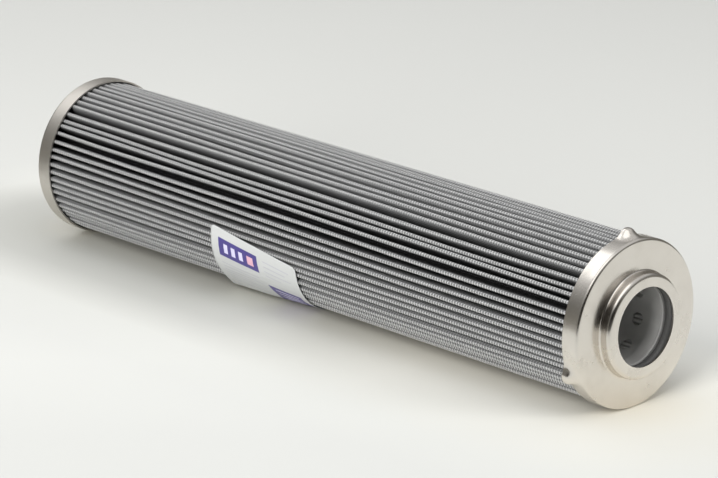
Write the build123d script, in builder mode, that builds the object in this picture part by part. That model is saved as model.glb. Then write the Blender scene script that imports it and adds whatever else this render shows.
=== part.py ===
"""Pleated pressure filter element for a hydraulic filter housing.

The element stands on its closed end: +Z runs along the axis towards the open
end and its neck, and the origin is the centre of the closed end's outer face.
Everything is in millimetres.

Pieces, from the outside in: two pressed steel end caps, a paper label, a pack
of five layers pleated together (wire mesh, fleece, glass fibre medium, fleece,
wire mesh) with the clip that closes its side seam, cast potting that bonds the
pack into each cap, a perforated core tube, and an O-ring on its seat ring
inside the neck.
"""

import math
import os

from build123d import *

os.makedirs("parts", exist_ok=True)

# ---- driving dimensions -------------------------------------------------
CAP_R = 39.0            # outside radius of both end caps
SHEET = 0.8             # sheet thickness of the pressed caps
BODY_L = 364.0          # outer face of the closed cap to face of the open cap
BAND = 8.7              # height of each cap's rim band
RIM_R = 1.3             # outside radius where a cap's face turns into its band

NECK_R = 24.3           # outside radius of the neck
NECK_H = 5.6            # how far the neck stands above the cap face
NECK_TOP_R = 2.0        # rounded shoulder between neck wall and lip
NECK_ROOT_R = 0.9       # fillet between cap face and neck wall
BORE_R = 18.4           # inner edge of the neck's lip, where the spigot enters

LUG_COUNT = 3           # centring lugs pressed out of the open cap's band
LUG_FIRST = 27.0        # angle of the first lug about +Z, from +X
LUG_H = 3.8             # how far a lug stands out of the band
LUG_BASE = 7.0          # radius at which a lug's flare dies into the band
LUG_Z = BODY_L - BAND + 1.4  # height of the lug centres, so the band's free edge opens like a spout

PLEATS = 60             # folds round the pack
PLEAT_PHASE = 3.0       # angle of the first outer fold
FOLD_A = 0.575          # fold radius of the pack's middle line
PACK_RO = 37.9          # outermost radius of the folds
PACK_RI = 21.7          # innermost radius of the folds
PACK_Z0 = 1.8           # lower end of the pack
PACK_Z1 = BODY_L - 1.8  # upper end of the pack
# distance of each layer boundary from the middle line, outside first
LAYER_D = [0.475, 0.155, 0.055, -0.155, -0.255, -0.475]

CORE_RO = 21.4          # outside radius of the perforated core tube
CORE_T = 0.8            # its wall
CORE_Z0 = SHEET
CORE_Z1 = BODY_L - 1.6  # it ends under the seat ring's flange
HOLE_R = 3.0            # perforation radius
HOLES_ROUND = 10        # perforations round the tube
HOLE_ROWS = 26          # staggered rows along the tube

POT_H = 3.4             # potting depth over the ends of the pleats

SEAT_RI = 18.9          # inner radius of the O-ring's seat ring
SEAT_RO = 23.3          # outer radius of its flange
SEAT_T = 0.8
SEAT_SKIRT_RO = 20.45   # skirt that centres the ring in the core tube
SEAT_SKIRT_L = 7.0

RING_CORD = 4.6         # O-ring section
RING_RI = 18.5          # O-ring inner radius, as squeezed on the spigot

CLIP_PLEAT = 20         # number of the fold that carries the side seam
CLIP_GAP = 0.02
CLIP_T = 0.28
CLIP_DEPTH = 8.0

LABEL_W = 57.5          # along the element
LABEL_H = 50.0          # round the element
LABEL_TILT = 9.3        # its skew on the pack
LABEL_ANGLE = 43.0      # direction of its centre about +Z
LABEL_Z = 152.4
LABEL_RI = 37.93
LABEL_T = 0.14
LABEL_CORNER = 2.0


# ---- pressed end caps ---------------------------------------------------
def lug_profile(top, base, drop):
    """Half section of a lug: x is the distance from its own axis, y the height above the band."""
    k = base / LUG_BASE
    return [(0, top), (1.2 * k, top * 0.96), (2.2 * k, top * 0.77), (3.3 * k, top * 0.40), (4.4 * k, top * 0.09), (base, drop)]


lug_angles = [LUG_FIRST + i * 360 / LUG_COUNT for i in range(LUG_COUNT)]
neck_top = BODY_L + NECK_H

lug_skins, lug_hollows = [], []
for angle in lug_angles:
    a = math.radians(angle)
    radial = Vector(math.cos(a), math.sin(a), 0)
    at_band = Plane(
        origin=radial * CAP_R + Vector(0, 0, LUG_Z), x_dir=(0, 0, 1), z_dir=Vector(0, 0, 1).cross(radial)
    )
    # in this plane x is +Z and y points outwards along the lug's axis
    sign = 1 if at_band.y_dir.dot(radial) > 0 else -1
    for top, base, floor, keep, z_lo, z_hi in (
        (LUG_H, LUG_BASE, -1.2, lug_skins, BODY_L - BAND, BODY_L - 0.25),
        (LUG_H - SHEET, LUG_BASE - 1.2, -2.2, lug_hollows, BODY_L - BAND - 0.5, BODY_L - SHEET - 0.3),
    ):
        pts = lug_profile(top, base, -base * base / 2 / CAP_R - 0.05)
        with BuildPart(mode=Mode.PRIVATE) as bump:
            with BuildSketch(at_band):
                with BuildLine():
                    Spline(
                        *[(x, sign * y) for x, y in pts],
                        tangents=[(1, 0), (1, -sign * base / CAP_R)],
                    )
                    Polyline(
                        (base, sign * pts[-1][1]), (base, sign * floor), (0, sign * floor), (0, sign * top)
                    )
                make_face()
            revolve(axis=Axis(at_band.origin, radial))
            with BuildSketch(Plane.XY.offset(z_lo)):
                Circle(CAP_R + 12)
            extrude(amount=z_hi - z_lo, mode=Mode.INTERSECT)
        keep.append(bump.part)

with BuildPart() as open_end_cap:
    with BuildSketch(Plane.XZ):
        with BuildLine():
            # outside of the pressing, from the band's free edge to the lip
            FilletPolyline(
                (CAP_R, BODY_L - BAND),
                (CAP_R, BODY_L),
                (NECK_R, BODY_L),
                (NECK_R, neck_top),
                (BORE_R, neck_top),
                radius=[RIM_R, NECK_ROOT_R, NECK_TOP_R],
            )
            Line((BORE_R, neck_top), (BORE_R, neck_top - SHEET))
            # inside of the pressing, back to the band's free edge
            FilletPolyline(
                (BORE_R, neck_top - SHEET),
                (NECK_R - SHEET, neck_top - SHEET),
                (NECK_R - SHEET, BODY_L - SHEET),
                (CAP_R - SHEET, BODY_L - SHEET),
                (CAP_R - SHEET, BODY_L - BAND),
                radius=[NECK_TOP_R - SHEET, NECK_ROOT_R + 0.3, RIM_R - SHEET],
            )
            Line((CAP_R - SHEET, BODY_L - BAND), (CAP_R, BODY_L - BAND))
        make_face()
    revolve(axis=Axis.Z)
    for skin in lug_skins:
        add(skin)
    with BuildSketch(Plane.XY.offset(BODY_L - BAND)):
        Circle(CAP_R - SHEET)
    extrude(amount=BAND - SHEET, mode=Mode.SUBTRACT)
    for hollow in lug_hollows:
        add(hollow, mode=Mode.SUBTRACT)
open_end_cap.part.label = "open_end_cap"
export_step(open_end_cap.part, "parts/open_end_cap.step")

with BuildPart() as closed_end_cap:
    with BuildSketch(Plane.XZ):
        with BuildLine():
            FilletPolyline((0, 0), (CAP_R, 0), (CAP_R, BAND), radius=RIM_R)
            Line((CAP_R, BAND), (CAP_R - SHEET, BAND))
            FilletPolyline((CAP_R - SHEET, BAND), (CAP_R - SHEET, SHEET), (0, SHEET), radius=RIM_R - SHEET)
            Line((0, SHEET), (0, 0))
        make_face()
    revolve(axis=Axis.Z)
closed_end_cap.part.label = "closed_end_cap"
export_step(closed_end_cap.part, "parts/closed_end_cap.step")


# ---- pleated pack -------------------------------------------------------
FOLD_RO = PACK_RO - FOLD_A - LAYER_D[0]   # radius on which the outer folds are centred
FOLD_RI = PACK_RI + FOLD_A - LAYER_D[-1]  # radius on which the inner folds are centred
HALF = math.pi / PLEATS


def polar(r, angle):
    return Vector(r * math.cos(angle), r * math.sin(angle))


def leg_ends(fold_angle, side, d):
    """Where a leg leaves the outer fold and meets the inner fold, for a line at distance d from the middle line."""
    outer, inner = polar(FOLD_RO, fold_angle), polar(FOLD_RI, fold_angle + side * HALF)
    along = inner - outer
    length = along.length
    u = along / length
    v = Vector(-u.Y, u.X)
    if v.dot(polar(1, fold_angle + math.pi / 2)) * side < 0:
        v = v * -1
    c = 2 * FOLD_A / length
    n = u * c + v * math.sqrt(1 - c * c)
    return outer + n * (FOLD_A + d), inner - n * (FOLD_A - d)


def fold_angle(k):
    return math.radians(PLEAT_PHASE) + 2 * HALF * k


def pleat_outline(d):
    """The closed zigzag at distance d from the pack's middle line, made inside a BuildLine."""
    for k in range(PLEATS):
        a, b = fold_angle(k), fold_angle(k + 1)
        o0, _ = leg_ends(a, -1, d)
        o1, i1 = leg_ends(a, +1, d)
        _, i2 = leg_ends(b, -1, d)
        o2, _ = leg_ends(b, -1, d)
        if k == 0:
            first = o0
        if k == PLEATS - 1:
            o2 = first
        ThreePointArc(o0 if k else first, polar(FOLD_RO + FOLD_A + d, a), o1)
        Line(o1, i1)
        ThreePointArc(i1, polar(FOLD_RI - FOLD_A + d, a + HALF), i2)
        Line(i2, o2)


def pleat_layer(name, d_out, d_in):
    with BuildPart() as layer:
        with BuildSketch(Plane.XY.offset(PACK_Z0)):
            with BuildLine():
                pleat_outline(d_out)
            make_face()
            with BuildLine():
                pleat_outline(d_in)
            make_face(mode=Mode.SUBTRACT)
        extrude(amount=PACK_Z1 - PACK_Z0)
    layer.part.label = name
    export_step(layer.part, f"parts/{name}.step")
    return layer


outer_mesh = pleat_layer("outer_mesh", LAYER_D[0], LAYER_D[1])
outer_fleece = pleat_layer("outer_fleece", LAYER_D[1], LAYER_D[2])
filter_media = pleat_layer("filter_media", LAYER_D[2], LAYER_D[3])
inner_fleece = pleat_layer("inner_fleece", LAYER_D[3], LAYER_D[4])
inner_mesh = pleat_layer("inner_mesh", LAYER_D[4], LAYER_D[5])


# ---- potting, cast round the ends of the pleats -------------------------
def potting(name, z_cap, z_pack, z_free):
    """A full ring between the cap and the pack, and resin in the pleats from z_pack to z_free."""
    lo, hi = min(z_cap, z_pack), max(z_cap, z_pack)
    with BuildPart() as cast:
        with BuildSketch(Plane.XY.offset(lo)):
            Circle(CAP_R - SHEET - RIM_R + SHEET)
            Circle(CORE_RO, mode=Mode.SUBTRACT)
        extrude(amount=hi - lo)
        with BuildSketch(Plane.XY.offset(min(z_pack, z_free))):
            Circle(CAP_R - SHEET)
            with BuildLine():
                pleat_outline(LAYER_D[0])
            make_face(mode=Mode.SUBTRACT)
        extrude(amount=abs(z_free - z_pack))
        with BuildSketch(Plane.XY.offset(min(z_pack, z_free))):
            with BuildLine():
                pleat_outline(LAYER_D[-1])
            make_face()
            Circle(CORE_RO, mode=Mode.SUBTRACT)
        extrude(amount=abs(z_free - z_pack))
    cast.part.label = name
    export_step(cast.part, f"parts/{name}.step")
    return cast


closed_end_potting = potting("closed_end_potting", SHEET, PACK_Z0, PACK_Z0 + POT_H)


# The potting at the open end stops at the seat ring's flange.
with BuildPart() as open_end_potting:
    with BuildSketch(Plane.XY.offset(PACK_Z1)):
        Circle(CAP_R - RIM_R)
        Circle(CORE_RO, mode=Mode.SUBTRACT)
    extrude(amount=CORE_Z1 - PACK_Z1)
    with BuildSketch(Plane.XY.offset(CORE_Z1)):
        Circle(CAP_R - RIM_R)
        Circle(SEAT_RO, mode=Mode.SUBTRACT)
    extrude(amount=BODY_L - SHEET - CORE_Z1)
    with BuildSketch(Plane.XY.offset(PACK_Z1 - POT_H)):
        Circle(CAP_R - SHEET)
        with BuildLine():
            pleat_outline(LAYER_D[0])
        make_face(mode=Mode.SUBTRACT)
    extrude(amount=POT_H)
    with BuildSketch(Plane.XY.offset(PACK_Z1 - POT_H)):
        with BuildLine():
            pleat_outline(LAYER_D[-1])
        make_face()
        Circle(CORE_RO, mode=Mode.SUBTRACT)
    extrude(amount=POT_H)
open_end_potting.part.label = "open_end_potting"
export_step(open_end_potting.part, "parts/open_end_potting.step")


# ---- perforated core tube -----------------------------------------------
with BuildPart() as core_tube:
    with BuildSketch(Plane.XY.offset(CORE_Z0)):
        Circle(CORE_RO)
        Circle(CORE_RO - CORE_T, mode=Mode.SUBTRACT)
    extrude(amount=CORE_Z1 - CORE_Z0)
    row_pitch = (CORE_Z1 - CORE_Z0 - 30) / (HOLE_ROWS - 1)
    drills = []
    for row in range(HOLE_ROWS):
        z = CORE_Z0 + 15 + row * row_pitch
        for i in range(HOLES_ROUND):
            a = math.radians((i + 0.5 * (row % 2)) * 360 / HOLES_ROUND)
            wall = (math.cos(a) * (CORE_RO - CORE_T / 2), math.sin(a) * (CORE_RO - CORE_T / 2), z)
            drills.append(Plane(origin=wall, z_dir=(math.cos(a), math.sin(a), 0)).location)
    with Locations(*drills):
        Cylinder(radius=HOLE_R, height=4, mode=Mode.SUBTRACT)
core_tube.part.label = "core_tube"
export_step(core_tube.part, "parts/core_tube.step")


# ---- O-ring and its seat ring -------------------------------------------
with BuildPart() as seal_seat_ring:
    with BuildSketch(Plane.XZ):
        with BuildLine():
            z = CORE_Z1
            Polyline(
                (SEAT_RI + SEAT_T, z - SEAT_SKIRT_L),
                (SEAT_SKIRT_RO, z - SEAT_SKIRT_L),
                (SEAT_SKIRT_RO, z),
                (SEAT_RO, z),
                (SEAT_RO, z + SEAT_T),
                (SEAT_RI, z + SEAT_T),
                (SEAT_RI, z - 0.2),
                (SEAT_RI + SEAT_T, z - 1.2),
                close=True,
            )
        make_face()
    revolve(axis=Axis.Z)
seal_seat_ring.part.label = "seal_seat_ring"
export_step(seal_seat_ring.part, "parts/seal_seat_ring.step")

ring_z = CORE_Z1 + SEAT_T + RING_CORD / 2 + 0.1
with BuildPart() as o_ring:
    with BuildSketch(Plane.XZ):
        with Locations((RING_RI + RING_CORD / 2, ring_z)):
            Circle(RING_CORD / 2)
    revolve(axis=Axis.Z)
o_ring.part.label = "o_ring"
export_step(o_ring.part, "parts/o_ring.step")


# ---- clip that closes the pack's side seam ------------------------------
def clip_point(side, d, depth):
    """A point on a leg's line at distance d, depth below the outer fold's end of the leg."""
    top, bottom = leg_ends(fold_angle(CLIP_PLEAT), side, d)
    return top + (bottom - top).normalized() * depth


clip_z0, clip_z1 = BAND + 0.6, BODY_L - BAND - 0.6
with BuildPart() as side_seam_clip:
    with BuildSketch(Plane.XY.offset(clip_z0)):
        with BuildLine():
            near, far = LAYER_D[0] + CLIP_GAP, LAYER_D[0] + CLIP_GAP + CLIP_T
            a = fold_angle(CLIP_PLEAT)
            Line(clip_point(-1, far, CLIP_DEPTH), clip_point(-1, far, 0))
            ThreePointArc(clip_point(-1, far, 0), polar(FOLD_RO + FOLD_A + far, a), clip_point(1, far, 0))
            Line(clip_point(1, far, 0), clip_point(1, far, CLIP_DEPTH))
            Line(clip_point(1, far, CLIP_DEPTH), clip_point(1, near, CLIP_DEPTH))
            Line(clip_point(1, near, CLIP_DEPTH), clip_point(1, near, 0))
            ThreePointArc(clip_point(1, near, 0), polar(FOLD_RO + FOLD_A + near, a), clip_point(-1, near, 0))
            Line(clip_point(-1, near, 0), clip_point(-1, near, CLIP_DEPTH))
            Line(clip_point(-1, near, CLIP_DEPTH), clip_point(-1, far, CLIP_DEPTH))
        make_face()
    extrude(amount=clip_z1 - clip_z0)
side_seam_clip.part.label = "side_seam_clip"
export_step(side_seam_clip.part, "parts/side_seam_clip.step")


# ---- paper label --------------------------------------------------------
la = math.radians(LABEL_ANGLE)
label_out = Vector(math.cos(la), math.sin(la), 0)
flat_h = 2 * LABEL_RI * math.sin(LABEL_H / LABEL_RI / 2)  # straight height of the curved sheet
with BuildPart() as paper_label:
    with BuildSketch(Plane.XY.offset(LABEL_Z - 60)):
        Circle(LABEL_RI + LABEL_T)
        Circle(LABEL_RI, mode=Mode.SUBTRACT)
    extrude(amount=120)
    with BuildSketch(Plane(origin=label_out * 10 + Vector(0, 0, LABEL_Z), x_dir=(0, 0, 1), z_dir=label_out)):
        RectangleRounded(LABEL_W, flat_h, LABEL_CORNER, rotation=LABEL_TILT)
    extrude(amount=40, mode=Mode.INTERSECT)
paper_label.part.label = "paper_label"
export_step(paper_label.part, "parts/paper_label.step")
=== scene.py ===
"""Looks of the pleated filter element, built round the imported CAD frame.

The element stands along +Z in its own frame. The picture it follows shows it lying
down, so the floor is a plane along its side (y = +CAP_R) and "up" in the picture is -Y.
"""
import math
import random

import bmesh
import bpy
import numpy as np
from mathutils import Matrix, Vector


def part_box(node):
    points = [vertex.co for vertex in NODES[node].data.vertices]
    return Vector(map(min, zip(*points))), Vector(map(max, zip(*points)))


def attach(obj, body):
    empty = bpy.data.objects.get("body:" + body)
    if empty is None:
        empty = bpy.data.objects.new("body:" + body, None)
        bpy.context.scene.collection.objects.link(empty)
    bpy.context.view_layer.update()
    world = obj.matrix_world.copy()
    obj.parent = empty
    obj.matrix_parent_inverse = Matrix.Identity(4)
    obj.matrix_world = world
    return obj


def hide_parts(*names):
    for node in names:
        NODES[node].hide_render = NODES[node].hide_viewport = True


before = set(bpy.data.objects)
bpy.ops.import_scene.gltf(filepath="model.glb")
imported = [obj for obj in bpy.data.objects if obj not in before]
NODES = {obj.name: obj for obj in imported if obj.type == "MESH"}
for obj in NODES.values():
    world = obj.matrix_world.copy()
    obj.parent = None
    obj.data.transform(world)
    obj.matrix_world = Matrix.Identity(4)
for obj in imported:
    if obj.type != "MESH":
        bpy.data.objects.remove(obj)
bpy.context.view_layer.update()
MM = 0.001

# ---- sizes read from the frame -------------------------------------------
cap_lo, cap_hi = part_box("closed_end_cap")
CAP_R = cap_hi.x
BAND = cap_hi.z
BODY_L = 0.364
frame_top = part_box("open_end_cap")[1].z
pack_lo, pack_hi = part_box("outer_mesh")
Z0, Z1 = pack_lo.z, pack_hi.z
label_lo, label_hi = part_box("paper_label")

# ---- camera and the picture's frame --------------------------------------
# Picture axes in the row frame: up is -Y, the axis towards the neck is +Z, and "side" is -X.
UNIT = 39.0 * MM
N_C = Vector((0.70014461, 0.2233167, -0.67817931))
U_C = Vector((0.0, -0.94982955, -0.31276802))
S_C = U_C.cross(N_C)
C_C = Vector((3.13370607, 0.96241025, 42.37763634)) * UNIT


def to_row(v):
    """A camera-space direction (x right, y down, z forward) in the row frame."""
    return Vector((-S_C.dot(v), -U_C.dot(v), N_C.dot(v)))


cam_data = bpy.data.cameras.new("camera")
cam_data.sensor_width = 36.0
cam_data.lens = 3753.05 / 718 * 36.0
cam_data.clip_start, cam_data.clip_end = 0.05, 50
cam = bpy.data.objects.new("camera", cam_data)
bpy.context.scene.collection.objects.link(cam)
right, up, back = to_row(Vector((1, 0, 0))), to_row(Vector((0, -1, 0))), to_row(Vector((0, 0, -1)))
cam.matrix_world = Matrix.Translation(Vector((0, 0, BODY_L)) - to_row(C_C)) @ Matrix(
    ((right.x, up.x, back.x), (right.y, up.y, back.y), (right.z, up.z, back.z))
).to_4x4()
bpy.context.scene.camera = cam


def pic(side, up_, along):
    """A direction given in the picture's own terms: to the side (right and away), up, and along the axis towards the neck."""
    return Vector((-side, -up_, along))


# ---- node helpers ---------------------------------------------------------
class Tree:
    """Small helper that wires shader nodes."""

    def __init__(self, name, world=False):
        self.owner = bpy.data.worlds.new(name) if world else bpy.data.materials.new(name)
        self.owner.use_nodes = True
        self.t = self.owner.node_tree
        self.t.nodes.clear()

    def n(self, kind, **props):
        node = self.t.nodes.new(kind)
        for k, v in props.items():
            setattr(node, k, v)
        return node

    def put(self, socket, value):
        if hasattr(value, "is_output"):
            self.t.links.new(value, socket)
        else:
            socket.default_value = value

    def math(self, op, a, b=0.0, c=None, clamp=False):
        m = self.n("ShaderNodeMath", operation=op, use_clamp=clamp)
        self.put(m.inputs[0], a)
        self.put(m.inputs[1], b)
        if c is not None:
            self.put(m.inputs[2], c)
        return m.outputs[0]

    def vec(self, op, a, b=(0, 0, 0), scale=None):
        m = self.n("ShaderNodeVectorMath", operation=op)
        self.put(m.inputs[0], a)
        if op == "SCALE":
            self.put(m.inputs["Scale"], scale)
        else:
            self.put(m.inputs[1], b)
        return m.outputs[0]

    def mix(self, fac, a, b):
        m = self.n("ShaderNodeMix", data_type="RGBA")
        self.put(m.inputs[0], fac)
        self.put(m.inputs[6], a)
        self.put(m.inputs[7], b)
        return m.outputs[2]

    def ramp(self, fac, stops, interp="LINEAR"):
        r = self.n("ShaderNodeValToRGB")
        r.color_ramp.interpolation = interp
        e = r.color_ramp.elements
        while len(e) > 1:
            e.remove(e[-1])
        for i, (p, c) in enumerate(stops):
            el = e[0] if i == 0 else e.new(p)
            el.position = p
            el.color = c if len(c) == 4 else (*c, 1)
        self.put(r.inputs[0], fac)
        return r.outputs[0]

    def noise(self, vector, scale, detail=3.0, rough=0.5):
        m = self.n("ShaderNodeTexNoise")
        self.put(m.inputs["Vector"], vector)
        m.inputs["Scale"].default_value = scale
        m.inputs["Detail"].default_value = detail
        m.inputs["Roughness"].default_value = rough
        return m.outputs[0]

    def objco(self):
        return self.n("ShaderNodeTexCoord").outputs["Object"]

    def xyz(self, vector):
        s = self.n("ShaderNodeSeparateXYZ")
        self.put(s.inputs[0], vector)
        return s.outputs

    def join(self, x, y, z):
        s = self.n("ShaderNodeCombineXYZ")
        self.put(s.inputs[0], x)
        self.put(s.inputs[1], y)
        self.put(s.inputs[2], z)
        return s.outputs[0]

    def bump(self, height, strength, distance, normal=None):
        b = self.n("ShaderNodeBump")
        b.inputs["Strength"].default_value = strength
        b.inputs["Distance"].default_value = distance
        self.put(b.inputs["Height"], height)
        if normal is not None:
            self.put(b.inputs["Normal"], normal)
        return b.outputs[0]

    def bsdf(self, **sockets):
        b = self.n("ShaderNodeBsdfPrincipled")
        for k, v in sockets.items():
            self.put(b.inputs[k.replace("_", " ")], v)
        out = self.n("ShaderNodeOutputMaterial")
        self.t.links.new(b.outputs[0], out.inputs[0])
        return b


def paint(obj, mat):
    obj.data.materials.clear()
    obj.data.materials.append(mat)


# ---- materials ------------------------------------------------------------
def cap_metal(name="satin_nickel", dull_and_shade=0.0):
    """Satin nickel plate: turned round the axis, faint cloudy tarnish, small scuffs."""
    t = Tree(name)
    co = t.objco()
    x, y, z = t.xyz(co)[0:3]
    r = t.math("SQRT", t.math("ADD", t.math("MULTIPLY", x, x), t.math("MULTIPLY", y, y)))
    # fine circular drawing marks: they change along the section and hardly round the axis
    marks = t.noise(t.join(t.math("MULTIPLY", r, 1.0), t.math("MULTIPLY", z, 1.0), t.math("MULTIPLY", t.math("ARCTAN2", y, x), 0.0006)), 2600.0, 4.0, 0.6)
    cloud = t.noise(co, 55.0, 4.0, 0.6)
    scuff = t.noise(co, 420.0, 5.0, 0.7)
    spots = t.ramp(scuff, [(0.66, (0, 0, 0)), (0.86, (1, 1, 1))])
    base = t.mix(cloud, (0.67, 0.63, 0.58, 1), (0.82, 0.785, 0.735, 1))
    base = t.mix(t.math("MULTIPLY", spots, 0.25), base, (0.52, 0.50, 0.46, 1))
    # handled patches on the band and face: duller, a little browner
    smudge = t.ramp(t.noise(t.vec("ADD", co, (0.31, 0.12, 0.07)), 75.0, 3.0, 0.55), [(0.46, (0, 0, 0)), (0.68, (1, 1, 1))])
    base = t.mix(t.math("MULTIPLY", smudge, 0.10), base, (0.46, 0.42, 0.36, 1))
    rough = t.math("ADD", t.math("MULTIPLY", cloud, 0.10), t.math("ADD", t.math("MULTIPLY", spots, 0.10), 0.16))
    rough = t.math("ADD", t.math("ADD", rough, dull_and_shade), t.math("MULTIPLY", smudge, 0.09))
    # painted shade: the dull amount also darkens the base colour, a shaded copy of the nickel
    base = t.mix(dull_and_shade, base, (0.30, 0.30, 0.27, 1))
    height = t.math("ADD", t.math("MULTIPLY", marks, 0.4), t.math("MULTIPLY", cloud, 3.0))
    t.bsdf(Base_Color=base, Metallic=1.0, Roughness=rough, Normal=t.bump(height, 0.12, 0.00005))
    return t.owner


def core_metal():
    t = Tree("galvanised_core")
    co = t.objco()
    patch = t.n("ShaderNodeTexVoronoi")
    t.put(patch.inputs["Vector"], co)
    patch.inputs["Scale"].default_value = 160.0
    grey = t.mix(patch.outputs["Distance"], (0.60, 0.60, 0.595, 1), (0.72, 0.72, 0.71, 1))
    streak = t.noise(t.vec("MULTIPLY", co, (1, 1, 0.08)), 300.0, 3.0)
    t.bsdf(Base_Color=grey, Metallic=0.45, Roughness=t.math("ADD", t.math("MULTIPLY", streak, 0.2), 0.36), Normal=t.bump(streak, 0.2, 0.00005))
    return t.owner


def clip_metal():
    t = Tree("bright_strip")
    co = t.objco()
    streak = t.noise(t.vec("MULTIPLY", co, (1, 1, 0.05)), 900.0, 3.0)
    t.bsdf(Base_Color=t.mix(streak, (0.52, 0.52, 0.52, 1), (0.72, 0.72, 0.71, 1)), Metallic=1.0, Roughness=0.28, Normal=t.bump(streak, 0.2, 0.00003))
    return t.owner


def nitrile():
    t = Tree("nitrile")
    co = t.objco()
    grain = t.noise(co, 1500.0, 3.0)
    t.bsdf(Base_Color=t.mix(grain, (0.05, 0.05, 0.05, 1), (0.085, 0.085, 0.084, 1)), Roughness=0.36, Normal=t.bump(grain, 0.15, 0.00005))
    return t.owner


def resin():
    t = Tree("cast_resin")
    co = t.objco()
    grain = t.noise(co, 700.0, 3.0)
    t.bsdf(Base_Color=t.mix(grain, (0.05, 0.05, 0.048, 1), (0.11, 0.105, 0.10, 1)), Roughness=0.4, Normal=t.bump(grain, 0.2, 0.0001))
    return t.owner


def fibre(name, low, high, scale):
    t = Tree(name)
    co = t.objco()
    a = t.noise(co, scale, 6.0, 0.75)
    b = t.noise(t.vec("MULTIPLY", co, (1, 1, 3)), scale * 2.3, 3.0)
    t.bsdf(Base_Color=t.mix(a, low, high), Roughness=0.85, Normal=t.bump(t.math("ADD", a, b), 0.4, 0.0001))
    return t.owner


PITCH = 25.4 / 16  # mm, 16 wires to the inch


def woven(name="woven_wire"):
    """Woven wire over fleece, from the piece's own map: u runs along the folds in mm, v along the element in mm."""
    t = Tree(name)
    uv = t.n("ShaderNodeUVMap", uv_map="WeaveMM").outputs[0]
    wob = t.noise(uv, 0.35, 2.0)
    u, v, _ = t.xyz(uv)[0:3]
    pu = t.math("FRACT", t.math("DIVIDE", t.math("ADD", u, t.math("MULTIPLY", wob, 0.35)), PITCH * 0.96))
    pv = t.math("FRACT", t.math("DIVIDE", t.math("ADD", v, t.math("MULTIPLY", wob, 0.25)), PITCH))
    du = t.math("ABSOLUTE", t.math("SUBTRACT", pu, 0.5))
    dv = t.math("ABSOLUTE", t.math("SUBTRACT", pv, 0.5))
    half = 0.125
    # 1 on the middle line of a wire, 0 at its edge
    wu = t.math("SUBTRACT", 1.0, t.math("DIVIDE", du, half), clamp=True)
    wv = t.math("SUBTRACT", 1.0, t.math("DIVIDE", dv, half), clamp=True)
    # over and under at alternate crossings
    wave_u = t.math("SINE", t.math("MULTIPLY", v, math.pi / PITCH))
    wave_v = t.math("SINE", t.math("MULTIPLY", u, math.pi / (PITCH * 0.96)))
    hu = t.math("MULTIPLY", t.math("SQRT", wu), t.math("ADD", t.math("MULTIPLY", wave_u, 0.25), 0.75))
    hv = t.math("MULTIPLY", t.math("SQRT", wv), t.math("SUBTRACT", 0.8, t.math("MULTIPLY", wave_v, 0.2)))
    height = t.math("MAXIMUM", hu, hv)
    wire = t.math("GREATER_THAN", height, 0.12)
    fuzz = t.noise(uv, 3.0, 4.0, 0.7)
    under = t.mix(fuzz, (0.11, 0.113, 0.117, 1), (0.22, 0.225, 0.23, 1))
    steel = t.mix(t.noise(uv, 0.12, 3.0), (0.38, 0.387, 0.395, 1), (0.58, 0.587, 0.595, 1))
    col = t.mix(wire, under, steel)
    # painted shade: the walls are duller and darker down in the folds, for the shade in the depth of the gaps
    x, y, _ = t.xyz(t.objco())[0:3]
    r = t.math("SQRT", t.math("ADD", t.math("MULTIPLY", x, x), t.math("MULTIPLY", y, y)))
    painted_fold_shade = t.ramp(t.math("DIVIDE", r, 0.040), [(0.79, (0.24, 0.24, 0.24)), (0.86, (0.42, 0.42, 0.42)), (0.905, (0.78, 0.78, 0.78)), (0.925, (1, 1, 1))])
    col = t.vec("MULTIPLY", col, painted_fold_shade)
    metal = t.math("MULTIPLY", wire, 0.45)
    rough = t.math("SUBTRACT", 0.62, t.math("MULTIPLY", wire, 0.26))
    t.bsdf(Base_Color=col, Metallic=metal, Roughness=rough, Normal=t.bump(height, 0.9, 0.00022))
    return t.owner


def wire_metal():
    t = Tree("bright_wire")
    co = t.objco()
    tone = t.noise(co, 120.0, 3.0)
    t.bsdf(Base_Color=t.mix(tone, (0.78, 0.785, 0.79, 1), (0.95, 0.95, 0.95, 1)), Metallic=0.45, Roughness=0.32)
    return t.owner


# ---- pleat geometry -------------------------------------------------------
PLEATS = 60
HALF = math.pi / PLEATS
PHASE = math.radians(3.0)
FOLD_A = 0.575
D_OUT, D_IN = 0.30, 0.155  # the cross wires stand from here out to the layer's full 0.475
FOLD_RO = 37.9 - FOLD_A - 0.475
FOLD_RI = 21.7 + FOLD_A + 0.475
LEN = (Z1 - Z0) / MM

# How far each outer fold has strayed round the pack from an even spacing, in degrees, seen
# from the neck end; folds that no view of the real one shows are given small seeded strays.
rng = random.Random(7)
seen = [-134, -129, -123.8, -117.2, -109.6, -104.4, -99, -93, -87.2, -81.2, -75.5, -69.2, -61.8, -55.8, -51.5,
        -45.2, -37.5, -32.2, -26.5, -20.8, -14.8, -9, -3.2, 2.5, 8.5]
stray = {}
for i, theta in enumerate(seen):
    k = i - 7  # fold at theta = -93 is number 0
    alpha = -90.0 - theta  # angle about +Z
    index = round((alpha - 3.0) / 6.0)
    stray[index % PLEATS] = alpha - (3.0 + 6.0 * index)
shift = sum(stray.values()) / len(stray)
for k in range(PLEATS):
    if k in stray:
        stray[k] = (stray[k] - shift) * 0.95
    else:
        stray[k] = rng.uniform(-0.9, 0.9)
for k in range(PLEATS):  # no two folds closer than 4.3 degrees
    nxt = (k + 1) % PLEATS
    gap = 6.0 + stray[nxt] - stray[k]
    if gap < 4.4:
        stray[nxt] += (4.4 - gap) / 2
        stray[k] -= (4.4 - gap) / 2
waves = [(rng.uniform(0, 6.28), rng.uniform(0.006, 0.013), rng.uniform(0.15, 0.42)) for _ in range(PLEATS)]
drift = [(rng.uniform(0, 6.28), rng.uniform(0.003, 0.006), rng.uniform(0.1, 0.3)) for _ in range(PLEATS)]
TWIST = -0.0165  # degrees of turn per millimetre towards the neck


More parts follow.
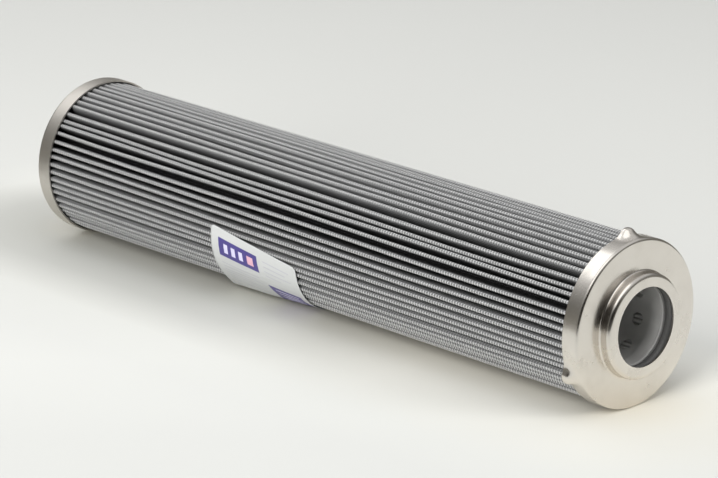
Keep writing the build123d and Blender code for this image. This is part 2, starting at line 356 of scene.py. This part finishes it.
def fold_turn(k, z):
    """Angle by which outer fold k stands off its even place at height z (mm above the closed end), in radians."""
    p, f, a = waves[k]
    q, g, b = drift[k]
    hold = min(1.0, max(0.0, (z - 2) / 40.0)) * min(1.0, max(0.0, (LEN - z) / 40.0))  # the potting holds the ends
    s = stray[k] + (a * math.sin(p + f * z * 6.28 / 2.2) + b * math.sin(q + g * z * 6.28 / 1.6)) * (0.35 + 0.65 * hold)
    return math.radians(s)


sunk = [rng.uniform(0.0, 0.32) for _ in range(PLEATS)]
for k, d_ in ((54, 0.45), (53, 0.75), (52, 0.05), (51, 0.1), (50, 0.1), (47, 0.1), (7, 0.5), (22, 0.6), (31, 0.7), (32, 0.5), (41, 0.6)):
    sunk[k] = d_
sunk[20] = 0.0


def fold_drop(k, z):
    """How far outer fold k stands inside the full radius at height z, in mm."""
    p, f, _ = waves[k]
    return sunk[k] * (0.75 + 0.25 * math.sin(1.7 * p + f * z * 1.9))


def pack_turn(z):
    return math.radians(TWIST * (z - LEN / 2) * -1.0)


def polar(r, a):
    return np.array((r * math.cos(a), r * math.sin(a)))


def leg(o_ang, i_ang, side, d, ro=FOLD_RO, ri=FOLD_RI):
    """Ends of a leg at distance d from the pack's middle line, with the fold centres and normal."""
    o, i = polar(ro, o_ang), polar(ri, i_ang)
    along = i - o
    length = math.hypot(*along)
    u = along / length
    v = np.array((-u[1], u[0]))
    t = np.array((-math.sin(o_ang), math.cos(o_ang)))
    if v.dot(t) * side < 0:
        v = -v
    c = 2 * FOLD_A / length
    n = u * c + v * math.sqrt(1 - c * c)
    return o, i, n, o + n * (FOLD_A + d), i - n * (FOLD_A - d)


def arc(centre, a0, a1, r, steps, ends=(True, True)):
    out = []
    for j in range(steps + 1):
        if (j == 0 and not ends[0]) or (j == steps and not ends[1]):
            continue
        a = a0 + (a1 - a0) * j / steps
        out.append(centre + r * np.array((math.cos(a), math.sin(a))))
    return out


def near(a, ref):
    while a - ref > math.pi:
        a -= 2 * math.pi
    while a - ref < -math.pi:
        a += 2 * math.pi
    return a


def outline(z, d, steps_o=8, steps_i=3, legs=2):
    """Closed zigzag of the pack at height z, the same number of points at every z."""
    pts = []
    tw = pack_turn(z)
    for k in range(PLEATS):
        ao = PHASE + 2 * HALF * k + tw + fold_turn(k, z)
        an = PHASE + 2 * HALF * (k + 1) + tw + fold_turn((k + 1) % PLEATS, z)
        ai0 = PHASE + 2 * HALF * (k - 0.5) + tw
        ai1 = PHASE + 2 * HALF * (k + 0.5) + tw
        ro, rn = FOLD_RO - fold_drop(k, z), FOLD_RO - fold_drop((k + 1) % PLEATS, z)
        oc, _, n0, _, _ = leg(ao, ai0, -1, d, ro)
        _, ic, n1, e1, f1 = leg(ao, ai1, +1, d, ro)
        _, _, n2, _, f2 = leg(an, ai1, -1, d, rn)
        a0 = near(math.atan2(n0[1], n0[0]), ao)
        a1 = near(math.atan2(n1[1], n1[0]), ao)
        pts += arc(oc, a0, a1, FOLD_A + d, steps_o)
        for j in range(1, legs):
            pts.append(e1 + (f1 - e1) * j / legs)
        b0 = near(math.atan2(-n1[1], -n1[0]), ai1 + math.pi)
        b1 = near(math.atan2(-n2[1], -n2[0]), ai1 + math.pi)
        pts += arc(ic, b0, b1, FOLD_A - d, steps_i)
        _, _, _, e2, _ = leg(an, ai1, -1, d, rn)
        for j in range(1, legs):
            pts.append(f2 + (e2 - f2) * j / legs)
    return pts


def smooth(mesh):
    mesh.polygons.foreach_set("use_smooth", [True] * len(mesh.polygons))


def link(name, verts, faces, shade=True):
    me = bpy.data.meshes.new(name)
    me.from_pydata(verts, [], faces)
    if shade:
        smooth(me)
    me.update()
    ob = bpy.data.objects.new(name, me)
    bpy.context.scene.collection.objects.link(ob)
    return ob


def pleated_sheet(name, d_out, d_in, n_z, steps_o, steps_i, legs):
    """One layer of the pack: a closed sheet of its own thickness, folded, strayed and twisted."""
    zs = [Z0 / MM + LEN * j / (n_z - 1) for j in range(n_z)]
    rows_out = [outline(z, d_out, steps_o, steps_i, legs) for z in zs]
    rows_in = [outline(z, d_in, steps_o, steps_i, legs) for z in zs]
    m = len(rows_out[0])
    verts, us, vs = [], [], []
    for rows in (rows_out, rows_in):
        for z, row in zip(zs, rows):
            verts += [(p[0] * MM, p[1] * MM, z * MM) for p in row]
    # length along the folds, taken at mid height so that the weave runs straight along the element
    mid = rows_out[n_z // 2]
    run = [0.0]
    for j in range(m):
        a, b = mid[j], mid[(j + 1) % m]
        run.append(run[-1] + float(np.hypot(*(b - a))))
    faces, uvs = [], []
    skin = n_z * m
    for side, base in ((0, 0), (1, skin)):
        for i in range(n_z - 1):
            for j in range(m):
                j2 = (j + 1) % m
                q = [base + i * m + j, base + i * m + j2, base + (i + 1) * m + j2, base + (i + 1) * m + j]
                w = [(run[j], zs[i]), (run[j + 1], zs[i]), (run[j + 1], zs[i + 1]), (run[j], zs[i + 1])]
                if side:
                    q, w = q[::-1], w[::-1]
                faces.append(q)
                uvs += w
    for i, flip in ((0, True), (n_z - 1, False)):
        for j in range(m):
            j2 = (j + 1) % m
            q = [i * m + j, i * m + j2, skin + i * m + j2, skin + i * m + j]
            if flip:
                q = q[::-1]
            faces.append(q)
            uvs += [(run[j], zs[i])] * 4
    ob = link(name, verts, faces)
    layer = ob.data.uv_layers.new(name="WeaveMM")
    layer.data.foreach_set("uv", np.array(uvs, np.float32).ravel())
    return ob


def weft_wires(name, first, last, z_lo, z_hi):
    """The cross wires where they pass over the folds: short closed arcs, one for each wire and fold."""
    verts, faces = [], []
    R = FOLD_A + D_OUT
    WIRE = 0.155
    count = int((z_hi - z_lo) / PITCH)
    stations = [(-1.75, 0), (-0.95, 1), (-0.32, 1), (0.32, 1), (0.95, 1), (1.75, 0)]
    for k in range(first, last):
        for j in range(count):
            z = z_lo + (j + 0.5) * PITCH + rng.uniform(-0.06, 0.06)
            a = PHASE + 2 * HALF * k + pack_turn(z) + fold_turn(k, z)
            c = polar(FOLD_RO - fold_drop(k, z), a)
            slant = 0.16 * math.sin(k * 1.7)
            base = len(verts)
            for t, ring in stations:
                d = np.array((math.cos(a + t), math.sin(a + t)))
                zz = z + slant * t
                if not ring:
                    p = c + d * (R - 0.02)
                    verts.append((p[0] * MM, p[1] * MM, zz * MM))
                    continue
                for du, dz in ((1.0, 0.0), (-0.35, 0.8), (-0.35, -0.8)):
                    p = c + d * (R + 0.03 + WIRE * du)
                    verts.append((p[0] * MM, p[1] * MM, (zz + WIRE * dz) * MM))
            # base: point, 4 rings of 3, point
            r0 = base + 1
            for q in range(3):
                faces.append((base, r0 + (q + 1) % 3, r0 + q))
            for s in range(3):
                for q in range(3):
                    a0, a1 = r0 + s * 3 + q, r0 + s * 3 + (q + 1) % 3
                    faces.append((a0, a1, a1 + 3, a0 + 3))
            tip, last_ring = base + 13, r0 + 9
            for q in range(3):
                faces.append((last_ring + q, last_ring + (q + 1) % 3, tip))
    ob = link(name, verts, faces)
    return ob


cloth = pleated_sheet("pleated_wire_cloth", D_OUT, D_IN, 46, 8, 3, 2)
paint(cloth, woven())
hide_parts("outer_mesh")
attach(cloth, "root")

fleece = fibre("polyester_fleece", (0.10, 0.10, 0.10, 1), (0.22, 0.22, 0.22, 1), 900.0)
glass = fibre("glass_fibre", (0.80, 0.80, 0.77, 1), (0.93, 0.93, 0.90, 1), 1400.0)
core = core_metal()
for name, node, slot, d0, d1, mat in (
    ("pleated_outer_fleece", "outer_fleece", "fleece", 0.145, 0.065, fleece),
    ("pleated_glass_fibre", "filter_media", "glass_fibre", 0.045, -0.145, glass),
    ("pleated_inner_fleece", "inner_fleece", "fleece", -0.165, -0.245, fleece),
    ("pleated_inner_cloth", "inner_mesh", "wire_mesh", -0.265, -0.475, core),
):
    layer = pleated_sheet(name, d0, d1, 18, 4, 4, 1)
    paint(layer, mat)
    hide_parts(node)
    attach(layer, "root")

wire = wire_metal()
W0, W1 = BAND / MM - 0.6, BODY_L / MM - BAND / MM + 0.6
for i, (a, b) in enumerate(((0, 30), (30, 60))):
    w = weft_wires(f"cross_wires_{i + 1}", a, b, W0, W1)
    paint(w, wire)
    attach(w, "root")


# ---- seam clip, following its fold ----------------------------------------
def seam_clip():
    k = 20
    near_d, far_d, depth = 0.525, 0.80, 8.0
    zs = np.linspace(BAND / MM + 0.6, BODY_L / MM - BAND / MM - 0.6, 46)
    verts, faces = [], []
    for z in zs:
        tw = pack_turn(z)
        ao = PHASE + 2 * HALF * k + tw + fold_turn(k, z)
        rim = []
        for d, flip in ((far_d, False), (near_d, True)):
            line = []
            oc, _, n0, e0, f0 = leg(ao, PHASE + 2 * HALF * (k - 0.5) + tw, -1, d, FOLD_RO - fold_drop(k, z))
            _, _, n1, e1, f1 = leg(ao, PHASE + 2 * HALF * (k + 0.5) + tw, +1, d, FOLD_RO - fold_drop(k, z))
            line.append(e0 + (f0 - e0) / np.hypot(*(f0 - e0)) * depth)
            line += arc(oc, near(math.atan2(n0[1], n0[0]), ao), near(math.atan2(n1[1], n1[0]), ao), FOLD_A + d, 8)
            line.append(e1 + (f1 - e1) / np.hypot(*(f1 - e1)) * depth)
            rim += line[::-1] if flip else line
        verts += [(p[0] * MM, p[1] * MM, z * MM) for p in rim]
    m = len(verts) // len(zs)
    for i in range(len(zs) - 1):
        for j in range(m):
            j2 = (j + 1) % m
            faces.append((i * m + j, i * m + j2, (i + 1) * m + j2, (i + 1) * m + j))
    half = m // 2
    for i, up_ in ((0, False), (len(zs) - 1, True)):
        for j in range(half - 1):
            q = (i * m + j, i * m + j + 1, i * m + m - 2 - j, i * m + m - 1 - j)
            faces.append(q if up_ else q[::-1])
    ob = link("folded_seam_clip", verts, faces, shade=False)
    return ob


clip = seam_clip()
paint(clip, clip_metal())
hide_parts("side_seam_clip")
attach(clip, "root")

# ---- open end cap: the pressing with its lugs drawn out to ovals -----------
def rounded(pts, radii, steps):
    """Polyline with its inner corners rounded: radii and steps are given for each inner point."""
    out = [np.array(pts[0], float)]
    for i in range(1, len(pts) - 1):
        p, a, b = (np.array(q, float) for q in (pts[i], pts[i - 1], pts[i + 1]))
        r = radii[i - 1]
        u, v = (a - p) / np.hypot(*(a - p)), (b - p) / np.hypot(*(b - p))
        s0, s1 = p + u * r, p + v * r  # every corner here is square
        c = p + (u + v) * r
        for j in range(steps[i - 1] + 1):
            f = math.pi / 2 * j / steps[i - 1]
            out.append(c + (s0 - c) * math.cos(f) + (s1 - c) * math.sin(f))
    out.append(np.array(pts[-1], float))
    return out


def filled(pts, step):
    """The same line with points no further apart than step(a, b)."""
    out = [pts[0]]
    for a, b in zip(pts, pts[1:]):
        n = max(1, math.ceil(np.hypot(*(b - a)) / step(a, b)))
        out += [a + (b - a) * j / n for j in range(1, n + 1)]
    return out


def open_cap():
    R, L, TOP, SH = CAP_R / MM, BODY_L / MM, cap_top / MM, 0.8
    NR, BR, B = 24.3, 18.4, BAND / MM
    fine = lambda a, b: 0.42 if min(a[0], b[0]) > R - 4.5 else 1.6
    outer = filled(rounded([(R, L - B), (R, L), (NR, L), (NR, TOP), (BR, TOP)], [1.3, 0.9, 2.0], [7, 5, 9]), fine)
    inner = filled(rounded([(BR, TOP - SH), (NR - SH, TOP - SH), (NR - SH, L - SH), (R - SH, L - SH), (R - SH, L - B)], [1.2, 1.2, 0.5], [5, 4, 4]), fine)
    line = outer + inner
    n_a = 600
    zc = L - B + 1.3
    flare_x = [0, 0.10, 0.20, 0.30, 0.40, 0.50, 0.62, 0.74, 0.87, 1.0]
    flare_y = [1, 0.985, 0.93, 0.80, 0.58, 0.375, 0.19, 0.08, 0.02, 0.0]
    lugs = [math.radians(q) for q in (25.8, 147.0, 268.3)]
    dents = [(rng.uniform(0, 6.28), rng.uniform(L - B, L - 1.5), rng.uniform(2.0, 5.0), rng.uniform(-0.05, 0.035)) for _ in range(26)]
    verts = []
    for i in range(n_a):
        a = 2 * math.pi * i / n_a
        ca, sa = math.cos(a), math.sin(a)
        for j, (r, z) in enumerate(line):
            is_in = j >= len(outer)
            push = 0.0
            if r > R - 5:
                for k, la in enumerate(lugs):
                    t = near(a, la) - la
                    t *= R
                    if abs(t) > 8.4:
                        continue
                    dz = z - zc
                    # the bell opens like a spout at the band's free edge and runs out at the rim
                    q = math.hypot(t / 8.0, dz / (7.2 if dz > 0 else 9.0))
                    if is_in:
                        q = q * 1.10
                    if q < 1:
                        h = float(np.interp(q, flare_x, flare_y))
                        lim = min(1.0, max(0.0, (r - (R - 1.6)) / 1.4)) if not is_in else min(1.0, max(0.0, (r - (R - SH - 1.2)) / 1.0))
                        push += 3.75 * h * lim
                if not is_in:
                    for da, dzc, w_, d_ in dents:
                        t = (near(a, da) - da) * R
                        if abs(t) < 3 * w_:
                            push += d_ * math.exp(-(t / w_) ** 2 - ((z - dzc) / (w_ * 0.6)) ** 2) * min(1.0, max(0.0, (r - (R - 1.6)) / 1.4))
            rr = r + push
            verts.append((rr * ca * MM, rr * sa * MM, z * MM))
    m = len(line)
    faces = []
    for i in range(n_a):
        i2 = (i + 1) % n_a
        for j in range(m):
            j2 = (j + 1) % m
            faces.append((i * m + j, i2 * m + j, i2 * m + j2, i * m + j2))
    ob = link("lugged_end_cap", verts, faces)
    me = ob.data
    # keep the sheet's cut edges crisp
    sharp = {len(outer) - 1, len(outer), 0, m - 1}
    me.update()
    for e in me.edges:
        a_, b_ = e.vertices[0] % m, e.vertices[1] % m
        if a_ == b_ and a_ in sharp:
            e.use_edge_sharp = True
    return ob


cap_top = frame_top
lug_cap = open_cap()
nickel = cap_metal()
paint(lug_cap, nickel)
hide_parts("open_end_cap")
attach(lug_cap, "root")

# ---- carried-over CAD nodes -----------------------------------------------
# painted shade: the closed end's cap gets a darker copy of the nickel, also rougher
paint(NODES["closed_end_cap"], cap_metal("shaded_dull_nickel", 0.20))
for name in ("core_tube", "seal_seat_ring"):
    paint(NODES[name], core)
paint(NODES["o_ring"], nitrile())
pot = resin()
for name in ("open_end_potting", "closed_end_potting"):
    paint(NODES[name], pot)


# ---- label ----------------------------------------------------------------
def label_material():
    """Coated white paper with plain violet blocks and grey rules: fields of colour only."""
    t = Tree("printed_paper")
    uv = t.n("ShaderNodeUVMap", uv_map="LabelMM").outputs[0]
    u, v, _ = t.xyz(uv)[0:3]

    def block(u0, u1, v0, v1):
        a = t.math("MULTIPLY", t.math("GREATER_THAN", u, u0), t.math("LESS_THAN", u, u1))
        b = t.math("MULTIPLY", t.math("GREATER_THAN", v, v0), t.math("LESS_THAN", v, v1))
        return t.math("MULTIPLY", a, b)

    def disc(cu, cv, r):
        x, y = t.math("SUBTRACT", u, cu), t.math("SUBTRACT", v, cv)
        d = t.math("SQRT", t.math("ADD", t.math("MULTIPLY", x, x), t.math("MULTIPLY", y, y)))
        return t.math("LESS_THAN", d, r)

    grain = t.noise(uv, 1.2, 3.0)
    col = t.mix(grain, (0.50, 0.515, 0.52, 1), (0.54, 0.555, 0.56, 1))
    violet = (0.048, 0.034, 0.205, 1)
    grey = (0.40, 0.40, 0.47, 1)
    pale = (0.62, 0.60, 0.80, 1)
    # a violet field at the upper left corner and another at the lower right one
    for m in (block(5.0, 31.0, 5.0, 15.5), block(33.0, 53.0, 23.5, 60)):
        col = t.mix(m, col, violet)
    # three pale bars and a rose bar in the upper field
    for u0 in (8.5, 13.5, 18.5):
        col = t.mix(block(u0, u0 + 2.6, 7.6, 12.9), col, pale)
    col = t.mix(block(24.0, 28.0, 7.6, 12.9), col, (0.68, 0.40, 0.50, 1))
    # even pale bars down the lower field
    for v0 in (26.5, 30.5, 34.5, 38.5, 42.5):
        col = t.mix(block(36.0, 50.0, v0, v0 + 1.1), col, pale)
    # thin plain grey rules, all lengthwise
    for v0, u0, u1, g in ((6.0, 35, 52, 0.75), (9.0, 35, 49, 0.75), (12.0, 35, 52, 0.75), (15.0, 35, 45, 0.75), (20.0, 5, 29, 0.7), (22.6, 5, 26, 0.7), (25.2, 5, 29, 0.7), (27.8, 5, 22, 0.7), (30.4, 5, 29, 0.7), (33.0, 5, 25, 0.7), (35.6, 5, 28, 0.7)):
        col = t.mix(t.math("MULTIPLY", block(u0, u1, v0, v0 + 0.6), g), col, grey)
    t.bsdf(Base_Color=col, Roughness=0.38, Coat_Weight=0.15, Coat_Roughness=0.25, Normal=t.bump(grain, 0.05, 0.0001))
    return t.owner


def paper_label():
    """A thin sheet on the folds. It spans them in flats, its upper edge has lifted a little, and its lower
    edge has come away and lies out straight until it meets what the element lies on."""
    W, H, T, TILT = 57.5, 50.0, 0.14, math.radians(9.3)
    R0, AL, ZC = 37.98, math.radians(43.0), 152.4
    corner = 2.2
    nu, nv = 60, 80

    def section(s_, leave):
        """Point of the sheet's section at arc length s_ from the leaving point, beyond it, in mm."""
        x0, y0 = R0 * math.cos(leave), R0 * math.sin(leave)
        tx, ty = -math.sin(leave), math.cos(leave)
        y_max = CAP_R / MM - 0.35
        # a gentle curve, tighter than straight but looser than the folds, then flat under the element
        n = 24
        x, y, ang = x0, y0, math.atan2(ty, tx)
        h = s_ / n
        for _ in range(n):
            x += math.cos(ang) * h
            y += math.sin(ang) * h
            turn = h / 95.0
            if y > y_max - 3.0:
                turn += h * (math.sin(ang) > 0) * max(0.0, math.sin(ang)) * 0.30
            ang += turn
            y = min(y, y_max)
        return x, y

    def place(u, v, lift):
        # u along the element from its closed end, v round it from the upper edge; (0, 0) is the middle
        du = u * math.cos(TILT) - v * math.sin(TILT)
        dv = u * math.sin(TILT) + v * math.cos(TILT)
        a = AL + dv / R0
        # the sheet leaves the folds early at its outer left corner and late at its right edge
        f = min(1.0, max(0.0, (u + W / 2) / W))
        leave = math.radians(41.0 + 19.0 * f * f)
        if a <= leave:
            r = R0 + lift
            return (r * math.cos(a) * MM, r * math.sin(a) * MM, (ZC + du) * MM)
        x, y = section((a - leave) * R0, leave)
        # stand the thickness off along the sheet's own outward side
        x2, y2 = section((a - leave) * R0 + 0.2, leave)
        nx, ny = (y2 - y), -(x2 - x)
        ln = math.hypot(nx, ny) or 1.0
        near_edge = min(1.0, (a - leave) * R0 / 4.0)
        lf = lift * (1 - near_edge) + (lift if lift > T * 0.99 else 0.0) * near_edge
        lf = min(lf, T) if near_edge >= 1 else lf
        return ((x + nx / ln * lf) * MM, (y + ny / ln * lf) * MM, (ZC + du) * MM)

    verts, uvs = [], []
    for s in (1, 0):
        for j in range(nv + 1):
            for i in range(nu + 1):
                u, v = -W / 2 + W * i / nu, -H / 2 + H * j / nv
                cu, cv = W / 2 - corner, H / 2 - corner
                if abs(u) > cu and abs(v) > cv:
                    x, y = abs(u) - cu, abs(v) - cv
                    m = max(x, y)
                    ln = math.hypot(x, y)
                    if ln > 1e-9:
                        x, y = x * m / ln, y * m / ln
                    u, v = math.copysign(cu + x, u), math.copysign(cv + y, v)
                dv = u * math.sin(TILT) + v * math.cos(TILT)
                a = math.degrees(AL + dv / R0)
                wave = 0.05 * (math.cos(math.radians((a - 3.0) * 60)) - 1) * 0.5
                edge = max(0.0, 1 - (v + H / 2) / 6.0)
                side = max(0.0, (abs(u) - W / 2 + 5.0) / 5.0)
                lift = wave + 0.25 * edge ** 2 + 0.12 * side ** 2 + 0.04 * math.sin(u * 0.21 + v * 0.12) + 0.05
                verts.append(place(u, v, lift + (T if s else 0)))
                uvs.append((u + W / 2, v + H / 2))
    faces = []
    row, skin = nu + 1, (nu + 1) * (nv + 1)
    for s in (0, 1):
        for j in range(nv):
            for i in range(nu):
                q = [s * skin + j * row + i, s * skin + j * row + i + 1, s * skin + (j + 1) * row + i + 1, s * skin + (j + 1) * row + i]
                if s == 0:
                    q = q[::-1]
                faces.append(q)
    rim = [i for i in range(row)] + [j * row + nu for j in range(1, nv + 1)] + [nv * row + i for i in range(nu - 1, -1, -1)] + [j * row for j in range(nv - 1, 0, -1)]
    for a, b in zip(rim, rim[1:] + rim[:1]):
        faces.append([a, b, b + skin, a + skin])
    ob = link("printed_label", verts, faces)
    me = ob.data
    layer = me.uv_layers.new(name="LabelMM")
    for lp in me.loops:
        layer.data[lp.index].uv = uvs[lp.vertex_index]
    bm = bmesh.new()
    bm.from_mesh(me)
    bmesh.ops.recalc_face_normals(bm, faces=bm.faces)
    bm.to_mesh(me)
    bm.free()
    return ob


label = paper_label()
paint(label, label_material())
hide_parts("paper_label")
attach(label, "root")

# ---- stage: a pale floor along the element's side --------------------------
floor_mesh = bpy.data.meshes.new("floor")
S = 1.5
y = CAP_R + 0.00005
floor_mesh.from_pydata([(-S, y, -S + 0.18), (S, y, -S + 0.18), (S, y, S + 0.18), (-S, y, S + 0.18)], [], [(0, 1, 2, 3)])
floor = bpy.data.objects.new("floor", floor_mesh)
bpy.context.scene.collection.objects.link(floor)
if floor_mesh.polygons[0].normal.y > 0:
    floor_mesh.flip_normals()
t = Tree("pale_floor")
tone = t.noise(t.objco(), 3.0, 2.0)
diffuse = t.n("ShaderNodeBsdfPrincipled")
# painted light: the floor is lighter and a little warmer close to what lies on it, for light thrown into its shadow,
# and a little darker further off
fx, fy_, fz = t.xyz(t.objco())[0:3]
past = t.math("MAXIMUM", t.math("MULTIPLY", fz, -1.0), t.math("SUBTRACT", fz, BODY_L))
past = t.math("MAXIMUM", past, 0.0)
dist = t.math("SQRT", t.math("ADD", t.math("MULTIPLY", fx, fx), t.math("MULTIPLY", past, past)))
floor_painted_shading = t.ramp(t.math("DIVIDE", dist, 0.12), [(0.0, (1.12, 1.06, 0.955)), (0.30, (1.09, 1.068, 1.025)), (0.75, (1.0, 1.0, 0.995)), (1.0, (0.968, 0.968, 0.97))])
# painted shadow: the floor is darker beside the element's far half
painted_far_shadow = t.ramp(t.math("DIVIDE", dist, 0.12), [(0.25, (0.70, 0.715, 0.73)), (0.45, (0.77, 0.78, 0.79)), (0.72, (1, 1, 1))])
far_half = t.ramp(t.math("DIVIDE", fz, BODY_L, clamp=True), [(0.0, (1, 1, 1)), (0.42, (1, 1, 1)), (0.70, (0, 0, 0))])
floor_painted_shading = t.vec("MULTIPLY", floor_painted_shading, t.mix(far_half, (1, 1, 1, 1), painted_far_shadow))
# painted shade: the floor is darker towards the front
toward = to_row(Vector((0, 0, -1)))
toward = Vector((toward.x, 0, toward.z)).normalized()
front = t.math("ADD", t.math("MULTIPLY", fx, toward.x), t.math("MULTIPLY", t.math("SUBTRACT", fz, 0.18), toward.z))
floor_painted_shading = t.vec("MULTIPLY", floor_painted_shading, t.ramp(t.math("DIVIDE", front, 0.40, clamp=True), [(0.18, (1, 1, 1)), (0.42, (0.91, 0.912, 0.915)), (0.80, (0.84, 0.842, 0.845))]))
t.put(diffuse.inputs["Base Color"], t.vec("MULTIPLY", t.mix(tone, (0.715, 0.725, 0.705, 1), (0.735, 0.745, 0.725, 1)), floor_painted_shading))
diffuse.inputs["Roughness"].default_value = 0.6
diffuse.inputs["Specular IOR Level"].default_value = 0.2
clear = t.n("ShaderNodeBsdfTransparent")
away = to_row(Vector((-1, 0, 0)))
away = Vector((away.x, 0, away.z)).normalized()
x_, y_, z_ = t.xyz(t.objco())[0:3]
zm = t.math("SUBTRACT", z_, 0.18)
rr = t.math("SQRT", t.math("ADD", t.math("MULTIPLY", x_, x_), t.math("MULTIPLY", zm, zm)))
left = t.math("ADD", t.math("MULTIPLY", x_, away.x), t.math("MULTIPLY", zm, away.z))
toward = to_row(Vector((0, 0, -1)))
toward = Vector((toward.x, 0, toward.z)).normalized()
front = t.math("ADD", t.math("MULTIPLY", x_, toward.x), t.math("MULTIPLY", zm, toward.z))
fade = t.math("MAXIMUM", t.math("DIVIDE", t.math("SUBTRACT", rr, 0.75), 0.6, clamp=True), t.math("DIVIDE", t.math("SUBTRACT", left, 0.27), 0.06, clamp=True))
fade = t.math("MAXIMUM", fade, t.math("DIVIDE", t.math("SUBTRACT", front, 0.42), 0.06, clamp=True))
back_side = t.n("ShaderNodeNewGeometry").outputs["Backfacing"]
gone = t.math("MAXIMUM", fade, back_side)
mixer = t.n("ShaderNodeMixShader")
t.put(mixer.inputs[0], gone)
t.t.links.new(diffuse.outputs[0], mixer.inputs[1])
t.t.links.new(clear.outputs[0], mixer.inputs[2])
out = t.n("ShaderNodeOutputMaterial")
t.t.links.new(mixer.outputs[0], out.inputs[0])
floor_mesh.materials.append(t.owner)

# ---- light ------------------------------------------------------------------
w = Tree("studio", world=True)
geo = w.n("ShaderNodeTexCoord").outputs["Generated"]


def wdot(direction):
    m = w.n("ShaderNodeVectorMath", operation="DOT_PRODUCT")
    w.put(m.inputs[0], geo)
    m.inputs[1].default_value = tuple(direction.normalized())
    return m.outputs["Value"]


# height above the floor's level, and how far round towards the dark side
rise = wdot(pic(0, 1, 0))
along = wdot(pic(0, 0, 1))
band = w.ramp(rise, [(0.0, (0.34, 0.325, 0.29)), (0.30, (0.24, 0.235, 0.22)), (0.48, (0.42, 0.42, 0.41)), (0.68, (1, 1, 1)), (1.0, (1, 1, 1))])
# the opening of the tent, where whoever looks in stands
opening = w.ramp(wdot(pic(-0.665, 0.24, 0.68)), [(0.0, (1, 1, 1)), (0.60, (1, 1, 1)), (0.86, (0.10, 0.09, 0.08)), (1.0, (0.05, 0.045, 0.04))])
tent = w.n("ShaderNodeBackground")
w.put(tent.inputs[0], w.vec("MULTIPLY", band, opening))
tent.inputs[1].default_value = 0.64
plain = w.n("ShaderNodeBackground")
plain.inputs[0].default_value = (0.755, 0.765, 0.725, 1)
plain.inputs[1].default_value = 1.0
ray = w.n("ShaderNodeLightPath").outputs["Is Camera Ray"]
mx = w.n("ShaderNodeMixShader")
w.put(mx.inputs[0], ray)
w.t.links.new(tent.outputs[0], mx.inputs[1])
w.t.links.new(plain.outputs[0], mx.inputs[2])
wo = w.n("ShaderNodeOutputWorld")
w.t.links.new(mx.outputs[0], wo.inputs[0])
bpy.context.scene.world = w.owner


def area(name, at, look, size, power, colour=(1, 1, 1)):
    data = bpy.data.lights.new(name, "AREA")
    data.shape = "RECTANGLE"
    data.size, data.size_y = size
    data.energy = power
    data.color = colour
    ob = bpy.data.objects.new(name, data)
    bpy.context.scene.collection.objects.link(ob)
    ob.location = at
    ob.rotation_mode = "QUATERNION"
    ob.rotation_quaternion = (Vector(look) - Vector(at)).to_track_quat("-Z", "Y")
    return ob


mid = Vector((0, 0, 0.18))
area("key_softbox", mid + pic(-0.40, 1.16, 0.28), mid, (1.2, 1.2), 4.0, (1.0, 0.995, 0.985))
area("back_softbox", mid + pic(-0.05, 0.95, -0.80), mid, (0.85, 0.70), 2.0)
fill = area("low_fill", mid + pic(-2.05, 0.84, 0.60), mid, (2.2, 1.0), 68.0, (1.0, 0.985, 0.96))
fill.visible_glossy = False
front_fill = area("front_fill", mid + pic(0.90, 0.95, 2.25), mid + pic(0, 0, 0.18), (1.2, 1.0), 34.0, (1.0, 0.985, 0.96))
front_fill.visible_glossy = False

scene = bpy.context.scene
scene.view_settings.view_transform = "Standard"
scene.view_settings.look = "None"
scene.view_settings.exposure = 0.0
